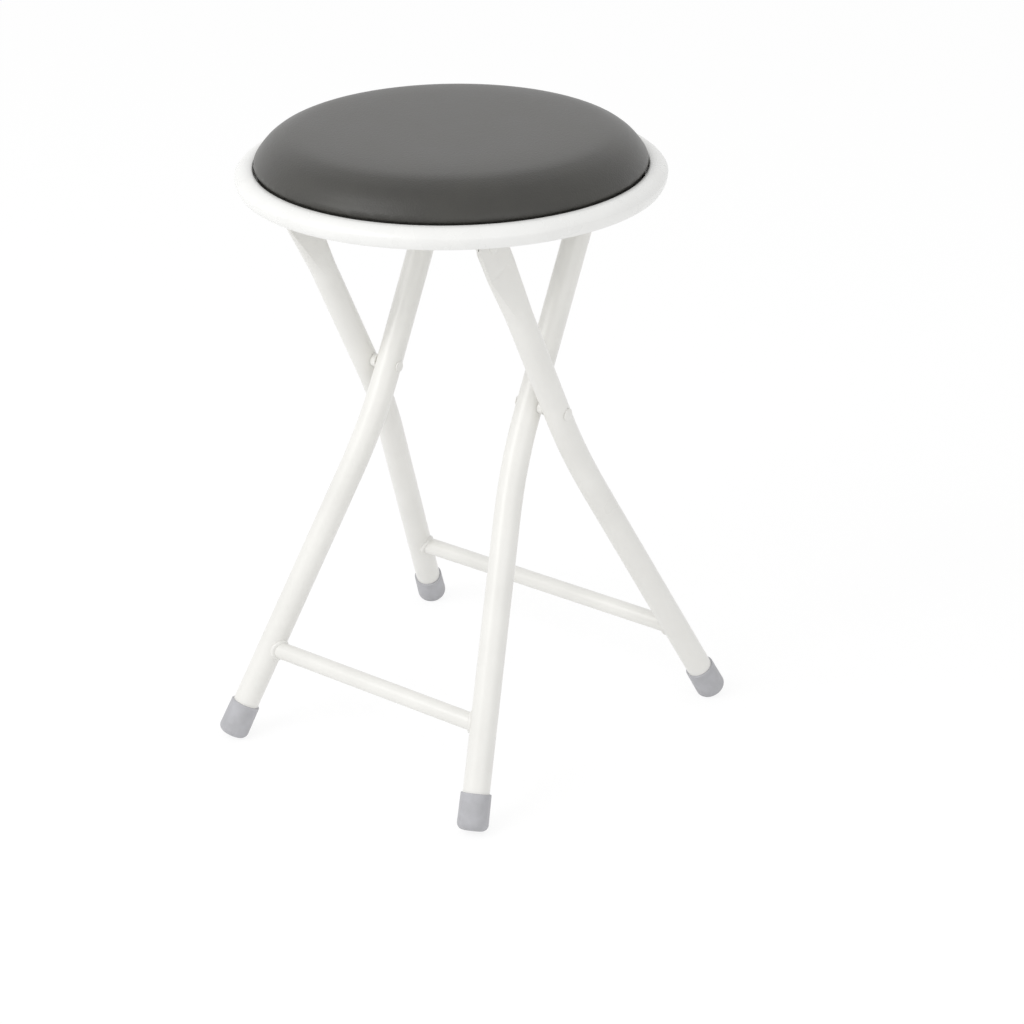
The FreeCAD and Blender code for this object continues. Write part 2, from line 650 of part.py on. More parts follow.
def seat_pan():
    """Moulded pan: flat plate, well for the pad, hollow sloping rim, ribs and gussets underneath."""
    body = new_body("seat_pan")
    well_back = f"({WELL} + pan_wall)"
    skin = "(pan_radius - pan_wall)"
    revolve(body, outline(new_sketch(body, "XZ_Plane"), [
        ("0", PAN_BOTTOM),
        (well_back, PAN_BOTTOM),
        (well_back, f"{RIM_TOP} - pan_wall - rim_crest_round"),
        (f"{RIM_CREST} + pan_wall", f"{RIM_TOP} - pan_wall", "-(rim_top_radius - pan_wall)"),
        (skin, RIM_WIDEST, f"-({RIM_SIDE} - pan_wall)"),
        (f"{skin} - rim_foot_inset", RIM_BOTTOM),
        ("pan_radius - rim_foot_inset", RIM_BOTTOM, RIM_SIDE),
        ("pan_radius", RIM_WIDEST, "rim_top_radius"),
        (RIM_CREST, RIM_TOP),
        (WELL, f"{RIM_TOP} - rim_crest_round"),
        (WELL, PAN_TOP),
        ("0", PAN_TOP),
    ]))
    # Underside: ring rib, radial ribs, lanes, and gussets in the hollow of the rim
    rib_level = f"{PAN_BOTTOM} - rib_depth"
    ring_rib = new_sketch(body, "XY_Plane", rib_level)
    circle(ring_rib, "0", "0", "2 * rib_ring_radius")
    circle(ring_rib, "0", "0", "2 * (rib_ring_radius - rib_thickness)")
    pad(body, ring_rib, "rib_depth")
    radial = outline(new_sketch(body, "XY_Plane", rib_level), [
        ("rib_ring_radius - rib_thickness / 2", "-rib_thickness / 2"),
        (f"{well_back} - pan_wall / 2", "-rib_thickness / 2"),
        (f"{well_back} - pan_wall / 2", "rib_thickness / 2"),
        ("rib_ring_radius - rib_thickness / 2", "rib_thickness / 2"),
    ])
    rib = pad(body, radial, "rib_depth")
    doc.recompute()
    repeat_round(body, [rib], "rib_count")
    # The rails lie flat on the plate and the folded legs close up to it, so the ribs leave two lanes
    landing = new_sketch(body, "XY_Plane", PAN_BOTTOM)
    inside = f"({RAIL_FACE} - flange_width - landing_margin)"
    outside = f"({BLADE_SIDE} + landing_margin)"
    lane_end = f"({well_back} - pan_wall / 4)"
    for _, side in SIDES:
        bend = on_side(side, lane_end)
        outline(landing, [
            (on_side(side, inside), f"-sqrt({lane_end} ^ 2 - {inside} ^ 2)", bend),
            (on_side(side, outside), f"-sqrt({lane_end} ^ 2 - {outside} ^ 2)"),
            (on_side(side, outside), f"sqrt({lane_end} ^ 2 - {outside} ^ 2)", bend),
            (on_side(side, inside), f"sqrt({lane_end} ^ 2 - {inside} ^ 2)"),
        ])
    cut(body, landing, "rib_depth")
    middle = "pan_wall / 2"
    gusset_sketch = outline(new_sketch(body, "XZ_Plane"), [
        (f"{well_back} - {middle}", f"{RIM_BOTTOM} + rib_depth"),
        (f"{skin} - rim_foot_inset + {middle}", f"{RIM_BOTTOM} + rib_depth"),
        (f"{skin} + {middle}", RIM_WIDEST, f"rim_top_radius - {middle}"),
        (f"{RIM_CREST} + {middle}", f"{RIM_TOP} - {middle}"),
        (f"{well_back} - {middle}", f"{RIM_TOP} - {middle} - rim_crest_round"),
    ])
    gusset = pad(body, gusset_sketch, "gusset_thickness", both_ways=True)
    doc.recompute()
    repeat_round(body, [gusset], "gusset_count")
    holes = new_sketch(body, "XY_Plane", PAN_TOP)
    for _, side in SIDES:
        for across, along in screw_places(side):
            circle(holes, across, along, "screw_diameter")
    cut(body, holes, "pan_plate")
    return finish(body)


def seat_board():
    """Round board under the padding, with blind holes for the screws."""
    body = new_body("seat_board")
    across_board = f"2 * ({CUSHION_BASE} - cover_thickness - board_play)"
    disc = circle(new_sketch(body, "XY_Plane", BOARD_BOTTOM), "0", "0", across_board)
    pad(body, disc, "board_thickness")
    holes = new_sketch(body, "XY_Plane", f"{BOARD_TOP} - screw_skin")
    for _, side in SIDES:
        for across, along in screw_places(side):
            circle(holes, across, along, "screw_diameter")
    cut(body, holes, "board_thickness - screw_skin")
    return finish(body)


def cushion_side(inset):
    """Bulged side, soft shoulder and crowned top of the pad, set in by the cover's thickness."""
    widest = f"({BOARD_TOP} + cushion_lift)"
    side = f"(cushion_side_radius - {inset})"
    shoulder = f"(cushion_shoulder - {inset})"
    bend = f"({CUSHION_RADIUS} - cushion_side_radius)"
    difference = "(cushion_shoulder - cushion_side_radius)"
    across = f"({bend} - {difference} * cos(cushion_side_turn))"
    up = f"({widest} - {difference} * sin(cushion_side_turn))"
    rim = f"({across} + {shoulder} * sin(cushion_crown_slope))"
    rim_level = f"({up} + {shoulder} * cos(cushion_crown_slope))"
    return [
        (f"{CUSHION_RADIUS} - {inset}", widest, side),
        (f"{bend} + {side} * cos(cushion_side_turn)",
         f"{widest} + {side} * sin(cushion_side_turn)", shoulder),
        (rim, rim_level, f"({rim} / sin(cushion_crown_slope))"),
        ("0", f"{rim_level} + {rim} * tan(cushion_crown_slope / 2)"),
    ]


def seat_foam():
    """Foam pad on the board, filling the cover."""
    body = new_body("seat_foam")
    revolve(body, outline(new_sketch(body, "XZ_Plane"), [
        ("0", BOARD_TOP),
        (f"{CUSHION_BASE} - cover_thickness", BOARD_TOP),
    ] + cushion_side("cover_thickness")))
    return finish(body)


def seat_cover():
    """Vinyl cover: crowned top, soft shoulder, drawn-in side and a hem turned under the board."""
    body = new_body("seat_cover")
    inside = f"{CUSHION_BASE} - cover_thickness"
    hem = f"{CUSHION_RADIUS} - cover_hem"
    outside = [(hem, PAN_TOP), (CUSHION_BASE, PAN_TOP), (CUSHION_BASE, BOARD_TOP)] + cushion_side("0")
    lining = [(inside, BOARD_BOTTOM), (inside, BOARD_TOP)] + cushion_side("cover_thickness")
    back = []
    for index in range(len(lining) - 1, -1, -1):
        corner = lining[index][:2]
        arc_before = lining[index - 1][2:] if index else ()
        back.append(corner + tuple(f"-({radius})" for radius in arc_before))
    revolve(body, outline(new_sketch(body, "XZ_Plane"), outside + back + [(hem, BOARD_BOTTOM)]))
    return finish(body)


def rail_screws():
    """Pan-head screws from below, through rail and pan into the board."""
    screws = []
    head_top = f"{PAN_BOTTOM} - rail_wall"
    tip = f"{BOARD_TOP} - screw_skin"
    for name, side in SIDES:
        for number, (across, along) in enumerate(screw_places(side), start=1):
            place = Placement(Vector(value(across), value(along), 0), Rotation())
            body = new_body(f"{name}_screw_{number}", place)
            revolve(body, outline(new_sketch(body, "XZ_Plane"), [
                ("0", f"{head_top} - screw_head_height"),
                ("screw_head / 2 - rail_wall / 2", f"{head_top} - screw_head_height"),
                ("screw_head / 2", f"{head_top} - screw_head_height / 2"),
                ("screw_head / 2", head_top),
                ("screw_diameter / 2", head_top),
                ("screw_diameter / 2", tip),
                ("0", tip),
            ]))
            screws.append(body)
    group = doc.addObject("Part::Compound", "rail_screws")
    group.Label = "rail_screws"
    group.Links = screws
    return finish(group)


# Outer and inner frames
for side_name, side_sign in SIDES:
    outer_leg(side_name, side_sign)
    inner_leg(side_name, side_sign)
    tip_plug(side_name, side_sign)
    foot_cap(f"outer_{side_name}_cap", 1, side_sign, "outer_half_width")
    foot_cap(f"inner_{side_name}_cap", -1, side_sign, INNER_HALF_WIDTH)
crossbar("outer_crossbar", 1, "outer_half_width", "outer_bar_drop")
crossbar("inner_crossbar", -1, INNER_HALF_WIDTH, "inner_bar_drop")

# Pivots
for side_name, side_sign in SIDES:
    rivet(f"{side_name}_cross_rivet", CROSSING, side_sign, TUBE_INSIDE, OUTER_SIDE,
          "rivet_diameter", "rivet_head", "rivet_head_height", "rivet_tail_height")
    ring(f"{side_name}_cross_spacer", CROSSING, side_sign, f"{TUBE_SIDE} + spacer_play",
         f"{OUTER_INSIDE} - {TUBE_SIDE} - 2 * spacer_play", "spacer_diameter", RIVET_HOLE)
    rivet(f"{side_name}_seat_rivet", HINGE, side_sign, RAIL_INSIDE, BLADE_SIDE,
          "rivet_diameter", "rivet_head", "rivet_head_height", "rivet_tail_height")
    ring(f"{side_name}_seat_spacer", HINGE, side_sign, RAIL_FACE, f"{BLADE_INSIDE} - {RAIL_FACE}",
         "spacer_diameter", RIVET_HOLE)
    rivet(f"{side_name}_link_rivet", LINK_PIVOT, side_sign, LINK_INSIDE, RAIL_FACE,
          "rivet_diameter", "rivet_head", "rivet_head_height", "rivet_tail_height")
    ring(f"{side_name}_link_washer", LINK_PIVOT, side_sign, LINK_FACE, "link_gap",
         "washer_diameter", RIVET_HOLE)
    rivet(f"{side_name}_tip_rivet", TIP, -side_sign, f"-{TUBE_SIDE}", f"-{TUBE_INSIDE}",
          "rivet_diameter", "rivet_head", "rivet_head_height")
    rivet(f"{side_name}_link_stud", TIP, side_sign, LINK_INSIDE, LINK_FACE,
          "rivet_diameter", "rivet_head", "stud_head_height")
    link(side_name, side_sign)

# Seat
for side_name, side_sign in SIDES:
    rail(side_name, side_sign)
    lock_clip(side_name, side_sign)
    clip_place = Placement(Vector(0, value(f"{LINK_Y} + clip_start + clip_length - clip_foot / 2"),
                                  value(HINGE_Z)), Rotation())
    rivet(f"{side_name}_clip_rivet", clip_place, side_sign, RAIL_INSIDE, f"{RAIL_FACE} + clip_thickness",
          "clip_rivet_diameter", "clip_rivet_head", "rivet_head_height", "stud_head_height")
rail_screws()
seat_pan()
seat_board()
seat_foam()
seat_cover()

doc.recompute()
for item in doc.Objects:
    if "Invalid" in item.State or "Error" in item.State:
        raise RuntimeError(f"{item.Label} failed")
for node in nodes:
    if node.Shape.isNull() or not node.Shape.isValid() or node.Shape.Volume <= 0:
        raise RuntimeError(f"{node.Label} has no valid solid")

os.makedirs("parts", exist_ok=True)
for node in nodes:
    node.Shape.exportStep(f"parts/{node.Label}.step")
    print(f"{node.Label}: {len(node.Shape.Solids)} solid, {node.Shape.Volume / 1000:.2f} cm3")
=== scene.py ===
import math

import bmesh
import bpy
from mathutils import Matrix, Vector


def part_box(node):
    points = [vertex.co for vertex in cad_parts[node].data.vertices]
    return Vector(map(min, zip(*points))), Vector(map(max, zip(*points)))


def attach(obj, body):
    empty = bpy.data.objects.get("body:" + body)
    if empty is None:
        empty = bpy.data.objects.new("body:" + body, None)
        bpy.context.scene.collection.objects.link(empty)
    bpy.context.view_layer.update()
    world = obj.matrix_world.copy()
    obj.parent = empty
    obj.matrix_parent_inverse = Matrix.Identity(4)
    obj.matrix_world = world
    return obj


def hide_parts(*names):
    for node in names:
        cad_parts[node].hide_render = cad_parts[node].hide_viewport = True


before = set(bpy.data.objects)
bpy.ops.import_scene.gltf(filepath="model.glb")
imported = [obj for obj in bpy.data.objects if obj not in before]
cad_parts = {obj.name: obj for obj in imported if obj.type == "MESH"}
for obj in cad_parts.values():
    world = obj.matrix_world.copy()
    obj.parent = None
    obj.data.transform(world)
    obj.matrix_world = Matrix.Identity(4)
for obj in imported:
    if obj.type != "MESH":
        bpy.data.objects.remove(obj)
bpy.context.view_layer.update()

scene = bpy.context.scene
scene.view_settings.view_transform = "Standard"


# Legs and crossbars: thin-walled steel tube, bent, welded and coated as two finished frames.
# The coat is a baked polyester powder, so it is thick, glossy and very slightly rippled.
def linear(code):
    """An sRGB hex value as linear colour with full alpha."""
    parts = [int(code[i:i + 2], 16) / 255 for i in (1, 3, 5)]
    return [p / 12.92 if p <= 0.04045 else ((p + 0.055) / 1.055) ** 2.4 for p in parts] + [1]


def add(tree, kind, values=None, links=None, **settings):
    """Adds one node, with its settings, its socket values and the sockets that feed it."""
    node = tree.nodes.new(kind)
    for name, setting in settings.items():
        setattr(node, name, setting)
    for socket, number in (values or {}).items():
        node.inputs[socket].default_value = number
    for socket, source in (links or {}).items():
        tree.links.new(source, node.inputs[socket])
    return node


def coat(finish, *nodes):
    """Gives the carried-over pieces their finish."""
    for name in nodes:
        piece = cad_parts[name]
        if not piece.material_slots:
            piece.data.materials.append(finish)
        for slot in piece.material_slots:
            slot.material = finish


SIDES = ("left", "right")
powder_white = bpy.data.materials.new("powder_coated_steel_white")
powder_white.use_nodes = True
tree = powder_white.node_tree
shader = tree.nodes["Principled BSDF"]
shader.inputs["IOR"].default_value = 1.5
shader.inputs["Coat Weight"].default_value = 0.15
shader.inputs["Coat Roughness"].default_value = 0.12
place = add(tree, "ShaderNodeTexCoord").outputs["Object"]
# Film thickness wanders over about 40 mm, which tints the white and dulls the gloss a little
film_mm = 40
film = add(tree, "ShaderNodeTexNoise", {"Scale": 1000 / film_mm, "Detail": 3}, {"Vector": place})
tint = add(tree, "ShaderNodeValToRGB", links={"Fac": film.outputs["Fac"]})
tint.color_ramp.elements[0].position = 0.3
tint.color_ramp.elements[0].color = linear("#EBEAE6")
tint.color_ramp.elements[1].position = 0.7
tint.color_ramp.elements[1].color = linear("#F1F0EC")
tree.links.new(tint.outputs["Color"], shader.inputs["Base Color"])
gloss = add(tree, "ShaderNodeMapRange", {"To Min": 0.24, "To Max": 0.36}, {"Value": film.outputs["Fac"]})
tree.links.new(gloss.outputs["Result"], shader.inputs["Roughness"])
# The ripple of the baked powder is about 1.6 mm from crest to crest
ripple_mm = 1.6
ripple = add(tree, "ShaderNodeTexNoise", {"Scale": 1000 / ripple_mm, "Detail": 1}, {"Vector": place})
skin = add(tree, "ShaderNodeBump", {"Strength": 0.12, "Distance": 0.00008},
           {"Height": ripple.outputs["Fac"]})
tree.links.new(skin.outputs["Normal"], shader.inputs["Normal"])
coat(powder_white, "outer_crossbar", "inner_crossbar")
coat(powder_white, *[f"{frame_name}_{side}_leg" for frame_name in ("outer", "inner") for side in SIDES])


# Weld beads: a small roll of weld metal round each end of the two crossbars, under the powder coat.
# It follows the curve where the bar meets the round of the leg, and its ripples swell it unevenly.
lean = math.radians(27.07)
splay = math.radians(10.95)
crossing = Vector((0, 0.004, 0.267))
leg_radius = 0.00955
bar_radius = 0.00635
bend_drop = 0.044
bead_radius = 0.0019
bead_pitch = 0.001
thinnest, thickest = 0.92, 1.04
path_points = 48

bead_tree = bpy.data.node_groups.new("weld_bead", "GeometryNodeTree")
for name, kind in (("Path", "NodeSocketGeometry"), ("Pitch", "NodeSocketFloat"),
                   ("Radius", "NodeSocketFloat"), ("Finish", "NodeSocketMaterial")):
    bead_tree.interface.new_socket(name=name, in_out="INPUT", socket_type=kind)
bead_tree.interface.new_socket(name="Bead", in_out="OUTPUT", socket_type="NodeSocketGeometry")
given = add(bead_tree, "NodeGroupInput").outputs
line = add(bead_tree, "GeometryNodeMeshToCurve", links={"Mesh": given["Path"]})
steps = add(bead_tree, "GeometryNodeResampleCurve", links={
    "Curve": line.outputs["Curve"], "Length": given["Pitch"]}, mode="LENGTH")
uneven = add(bead_tree, "FunctionNodeRandomValue", data_type="FLOAT")
uneven.inputs[2].default_value = thinnest
uneven.inputs[3].default_value = thickest
uneven.inputs["Seed"].default_value = 7
wire = add(bead_tree, "GeometryNodeCurvePrimitiveCircle", {"Resolution": 16}, {"Radius": given["Radius"]})
roll = add(bead_tree, "GeometryNodeCurveToMesh", links={
    "Curve": steps.outputs["Curve"], "Profile Curve": wire.outputs["Curve"], "Scale": uneven.outputs[1]})
soft = add(bead_tree, "GeometryNodeSetShadeSmooth", links={"Geometry": roll.outputs["Mesh"]})
real = add(bead_tree, "GeometryNodeRealizeInstances", links={"Geometry": soft.outputs["Geometry"]})
painted = add(bead_tree, "GeometryNodeSetMaterial", links={
    "Geometry": real.outputs["Geometry"], "Material": given["Finish"]})
add(bead_tree, "NodeGroupOutput", links={"Bead": painted.outputs["Geometry"]})


def socket_id(node_tree, name):
    """Identifier of a named input of a node tree."""
    return [item.identifier for item in node_tree.interface.items_tree
            if item.name == name and item.in_out == "INPUT"][0]


def grown(name, start, node_tree, inputs):
    """Runs a node tree on a start mesh and returns a plain mesh object of the result."""
    holder = bpy.data.objects.new(name + "_start", start)
    scene.collection.objects.link(holder)
    modifier = holder.modifiers.new("grow", "NODES")
    modifier.node_group = node_tree
    for label, setting in inputs.items():
        modifier[socket_id(node_tree, label)] = setting
    bpy.context.view_layer.update()
    evaluated = holder.evaluated_get(bpy.context.evaluated_depsgraph_get())
    mesh = bpy.data.meshes.new_from_object(evaluated)
    mesh.name = name
    piece = bpy.data.objects.new(name, mesh)
    scene.collection.objects.link(piece)
    holder.modifiers.remove(modifier)
    bpy.data.objects.remove(holder)
    return piece


# Each frame's way of leaning, half its width above the bends, and how far its bar lies below the crossing
bars = (("outer", -1, 0.08775, 0.2272), ("inner", 1, 0.0642, 0.2257))
for frame_name, direction, half_width, drop_down in bars:
    up = Vector((0, direction * math.sin(lean), math.cos(lean)))
    out = Vector((1, 0, 0)).cross(up)
    axis_half = half_width + (drop_down - bend_drop) * math.tan(splay)
    corners, edges = [], []
    for side in (-1, 1):
        first = len(corners)
        for number in range(path_points):
            angle = 2 * math.pi * number / path_points
            along = bar_radius * math.cos(angle)
            across = bar_radius * math.sin(angle)
            reach = math.sqrt(leg_radius ** 2 - across ** 2)
            x = side * (axis_half - (reach + along * math.sin(splay)) / math.cos(splay))
            corners.append(crossing + Vector((x, 0, 0)) + up * (along - drop_down) + out * across)
            edges.append((first + number, first + (number + 1) % path_points))
    path = bpy.data.meshes.new("bead_path")
    path.from_pydata(corners, edges, [])
    bead = grown(f"{frame_name}_weld_beads", path, bead_tree, {
        "Pitch": bead_pitch, "Radius": bead_radius, "Finish": powder_white})
    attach(bead, f"{frame_name}_frame")


# Foot caps: soft grey cups, injection-moulded in flexible vinyl and pushed over the tube ends.
# They are matt, with a fine moulded grain and a faint bluish cast.
vinyl_grey = bpy.data.materials.new("moulded_soft_vinyl_grey")
vinyl_grey.use_nodes = True
tree = vinyl_grey.node_tree
shader = tree.nodes["Principled BSDF"]
shader.inputs["IOR"].default_value = 1.52
place = add(tree, "ShaderNodeTexCoord").outputs["Object"]
bloom_mm = 9
bloom = add(tree, "ShaderNodeTexNoise", {"Scale": 1000 / bloom_mm, "Detail": 4}, {"Vector": place})
tint = add(tree, "ShaderNodeValToRGB", links={"Fac": bloom.outputs["Fac"]})
tint.color_ramp.elements[0].position = 0.3
tint.color_ramp.elements[0].color = linear("#AFAFB2")
tint.color_ramp.elements[1].position = 0.72
tint.color_ramp.elements[1].color = linear("#BCBCC0")
tree.links.new(tint.outputs["Color"], shader.inputs["Base Color"])
gloss = add(tree, "ShaderNodeMapRange", {"To Min": 0.42, "To Max": 0.58}, {"Value": bloom.outputs["Fac"]})
tree.links.new(gloss.outputs["Result"], shader.inputs["Roughness"])
# Spark-eroded mould grain of about 0.4 mm, drawn at 0.7 mm so that it shows
grain_mm = 0.7
grain = add(tree, "ShaderNodeTexNoise", {"Scale": 1000 / grain_mm, "Detail": 2}, {"Vector": place})
skin = add(tree, "ShaderNodeBump", {"Strength": 0.25, "Distance": 0.0001}, {"Height": grain.outputs["Fac"]})
tree.links.new(skin.outputs["Normal"], shader.inputs["Normal"])
coat(vinyl_grey, *[f"{frame_name}_{side}_cap" for frame_name in ("outer", "inner") for side in SIDES])


# Frame pivots: solid steel rivets and turned spacers, set through the tubes and coated with the frames.
# The seat rivets and their spacers hold the flattened leg tops to the rails.
coat(powder_white, *[f"{side}_{kind}" for side in SIDES
                     for kind in ("cross_rivet", "cross_spacer", "seat_rivet", "seat_spacer")])


# Rails and links: pressed steel strip with the same white coat; the rails are screwed up under the pan.
# The rails carry the hinge to the outer frame, and the links tie them to the inner frame.
coat(powder_white, *[f"{side}_{kind}" for side in SIDES for kind in ("rail", "link")])


# Plated hardware: spring clips, washers and inner rivets in bright zinc.
# Zinc over mill-finished strip shows a soft cloudy sheen with fine drawing lines.
zinc = bpy.data.materials.new("bright_zinc_plated_steel")
zinc.use_nodes = True
tree = zinc.node_tree
shader = tree.nodes["Principled BSDF"]
shader.inputs["Metallic"].default_value = 1
place = add(tree, "ShaderNodeTexCoord").outputs["Object"]
cloud_mm = 3
cloud = add(tree, "ShaderNodeTexNoise", {"Scale": 1000 / cloud_mm, "Detail": 4}, {"Vector": place})
tint = add(tree, "ShaderNodeValToRGB", links={"Fac": cloud.outputs["Fac"]})
tint.color_ramp.elements[0].position = 0.3
tint.color_ramp.elements[0].color = linear("#B9BBBD")
tint.color_ramp.elements[1].position = 0.7
tint.color_ramp.elements[1].color = linear("#D6D8D9")
tree.links.new(tint.outputs["Color"], shader.inputs["Base Color"])
gloss = add(tree, "ShaderNodeMapRange", {"To Min": 0.22, "To Max": 0.4}, {"Value": cloud.outputs["Fac"]})
tree.links.new(gloss.outputs["Result"], shader.inputs["Roughness"])
# Drawing lines of the strip run along the rails, about 0.3 mm apart
line_mm = 0.3
stretch = add(tree, "ShaderNodeMapping", {"Scale": (1, 0.04, 1)}, {"Vector": place})
drawn = add(tree, "ShaderNodeTexNoise", {"Scale": 1000 / line_mm, "Detail": 1},
            {"Vector": stretch.outputs["Vector"]})
skin = add(tree, "ShaderNodeBump", {"Strength": 0.2, "Distance": 0.00004}, {"Height": drawn.outputs["Fac"]})
tree.links.new(skin.outputs["Normal"], shader.inputs["Normal"])
plated_kinds = ("lock_clip", "clip_rivet", "link_rivet", "link_washer", "link_stud", "tip_rivet")
coat(zinc, *[f"{side}_{kind}" for side in SIDES for kind in plated_kinds])


# Rail screws: six zinc pan-head screws with a cross recess, driven up through rail and pan into the board.
# One head is drawn and set at the six places, each turned as it came to rest.
low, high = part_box("rail_screws")
head_radius = 0.004
head_height = 0.0024
head_round = 0.0011
shank_radius = 0.002
head_mesh = bpy.data.meshes.new("screw_head")
work = bmesh.new()
rim_count = 24
slot_half, slot_reach, slot_depth, slot_taper = 0.00055, 0.0023, 0.0011, 0.75


def screw_ring(radius, height):
    """One ring of corners round the screw's axis."""
    angles = [2 * math.pi * k / rim_count for k in range(rim_count)]
    return [work.verts.new((radius * math.cos(angle), radius * math.sin(angle), height))
            for angle in angles]


# Rings from the upright shank's tip down over the head, whose edge rounds off in three steps
shape = [(shank_radius, high.z - low.z), (shank_radius, head_height), (head_radius, head_height),
         (head_radius, head_round)]
shape += [(head_radius * share, height) for share, height in ((0.93, 0.0005), (0.8, 0.0001), (0.72, 0))]
rings = [screw_ring(radius, height) for radius, height in shape]
work.faces.new(rings[0])
for upper, lower in zip(rings, rings[1:]):
    for k in range(rim_count):
        following = (k + 1) % rim_count
        work.faces.new((upper[k], lower[k], lower[following], upper[following]))
# Cross recess: three corners, turned by quarters, in the flat of the head and pressed in
cross = [(slot_reach, slot_half), (slot_half, slot_half), (slot_half, slot_reach)]
for quarter in range(3):
    cross += [(-y, x) for x, y in cross[-3:]]
mouth = [work.verts.new((x, y, 0)) for x, y in cross]
recess_floor = [work.verts.new((x * slot_taper, y * slot_taper, slot_depth)) for x, y in cross]
for k in range(len(cross)):
    following = (k + 1) % len(cross)
    work.faces.new((mouth[k], recess_floor[k], recess_floor[following], mouth[following]))
work.faces.new(recess_floor)
border = [work.edges.get((rings[-1][k], rings[-1][(k + 1) % rim_count])) for k in range(rim_count)]
border += [work.edges.get((mouth[k], mouth[(k + 1) % len(cross)])) for k in range(len(cross))]
bmesh.ops.triangle_fill(work, edges=border, use_beauty=True)
bmesh.ops.recalc_face_normals(work, faces=work.faces)
work.to_mesh(head_mesh)
work.free()
head = bpy.data.objects.new("screw_head", head_mesh)
scene.collection.objects.link(head)

screw_tree = bpy.data.node_groups.new("screw_row", "GeometryNodeTree")
for name, kind in (("Places", "NodeSocketGeometry"), ("Screw", "NodeSocketObject"),
                   ("Finish", "NodeSocketMaterial")):
    screw_tree.interface.new_socket(name=name, in_out="INPUT", socket_type=kind)
screw_tree.interface.new_socket(name="Screws", in_out="OUTPUT", socket_type="NodeSocketGeometry")
given = add(screw_tree, "NodeGroupInput").outputs
one = add(screw_tree, "GeometryNodeObjectInfo", links={"Object": given["Screw"]})
twist = add(screw_tree, "FunctionNodeRandomValue", data_type="FLOAT_VECTOR")
twist.inputs[0].default_value = (0, 0, 0)
twist.inputs[1].default_value = (0, 0, math.pi / 2)
twist.inputs["Seed"].default_value = 3
dots = add(screw_tree, "GeometryNodeMeshToPoints", links={"Mesh": given["Places"]})
row = add(screw_tree, "GeometryNodeInstanceOnPoints", links={
    "Points": dots.outputs["Points"], "Instance": one.outputs["Geometry"], "Rotation": twist.outputs[0]})
real = add(screw_tree, "GeometryNodeRealizeInstances", links={"Geometry": row.outputs["Instances"]})
plated = add(screw_tree, "GeometryNodeSetMaterial", links={
    "Geometry": real.outputs["Geometry"], "Material": given["Finish"]})
add(screw_tree, "NodeGroupOutput", links={"Screws": plated.outputs["Geometry"]})

places = bpy.data.meshes.new("screw_places")
spread = high.x - head_radius
back, front = low.y + head_radius, high.y - head_radius
along_rail = (back, (back + front) / 2, front)
places.from_pydata([(side * spread, y, low.z) for side in (-1, 1) for y in along_rail], [], [])
screws = grown("rail_screw_set", places, screw_tree, {"Screw": head, "Finish": zinc})
bpy.data.objects.remove(head)
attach(screws, "seat")
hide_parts("rail_screws")


# Seat pan: white polypropylene, injection-moulded in one piece from a gate in the middle.
# A flat plate and a well hold the pad; the rim is a hollow roll with gussets, and ribs stiffen the plate.
pan_low, pan_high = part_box("seat_pan")
pan_radius, rim_bottom, rim_top = pan_high.x, pan_low.z, pan_high.z
rim_overhang, plate_thickness = 0.0029, 0.002
pan_bottom = rim_bottom + rim_overhang
pan_top = pan_bottom + plate_thickness
wall = 0.0026
widest_rise = 0.0079
rim_widest = rim_bottom + widest_rise
foot_inset = 0.0024
side_arc = (foot_inset ** 2 + widest_rise ** 2) / (2 * foot_inset)
top_arc = 0.011
rim_width = 0.012
crest = pan_radius - rim_width
crest_round = 0.0011
crest_arc = crest_round * 1.2
well = crest - crest_round
well_back = well + wall
rib_depth, rib_thickness, rib_ring = 0.0028, 0.0018, 0.048
pan_facets, rib_facets = 192, 96


def arc(start, end, radius, steps=12):
    """Points after start up to end on an arc, which turns left for a positive radius."""
    start, end = Vector(start), Vector(end)
    chord = end - start
    left = Vector((-chord.y, chord.x)).normalized()
    rise = math.sqrt(radius * radius - chord.length_squared / 4)
    centre = (start + end) / 2 + left * math.copysign(rise, radius)
    sweep = (start - centre).angle_signed(end - centre)
    first = start - centre
    return [tuple(centre + Matrix.Rotation(-sweep * k / steps, 2) @ first) for k in range(1, steps + 1)]


def turned(section, around, closed):
    """Mesh of a section (radius, height) turned about the vertical axis, open only at its own ends."""
    mesh = bmesh.new()
    columns = []
    for radius, level in section:
        angles = [2 * math.pi * k / around for k in range(1 if radius == 0 else around)]
        columns.append([mesh.verts.new((radius * math.cos(angle), radius * math.sin(angle), level))
                        for angle in angles])
    pairs = list(zip(columns, columns[1:]))
    if closed:
        pairs.append((columns[-1], columns[0]))
    for lower, upper in pairs:
        for k in range(around):
            following = (k + 1) % around
            corners = [lower[k % len(lower)], lower[following % len(lower)],
                       upper[following % len(upper)], upper[k % len(upper)]]
            mesh.faces.new(list(dict.fromkeys(corners)))
    return mesh


def slab(mesh, corners, thickness):
    """Prism from a flat loop of corners, thickened both ways along a vector."""
    near = [mesh.verts.new(Vector(corner) - thickness / 2) for corner in corners]
    far = [mesh.verts.new(Vector(corner) + thickness / 2) for corner in corners]
    mesh.faces.new(near)
    mesh.faces.new(far)
    for k in range(len(corners)):
        following = (k + 1) % len(corners)
        mesh.faces.new((near[k], near[following], far[following], far[k]))


def settled(name, work):
    """Turns a finished working mesh into an object, smooth but for its sharp edges."""
    bmesh.ops.recalc_face_normals(work, faces=work.faces)
    mesh = bpy.data.meshes.new(name)
    work.to_mesh(mesh)
    work.free()
    mesh.shade_smooth()
    mesh.set_sharp_from_angle(angle=math.radians(32))
    piece = bpy.data.objects.new(name, mesh)
    scene.collection.objects.link(piece)
    return piece


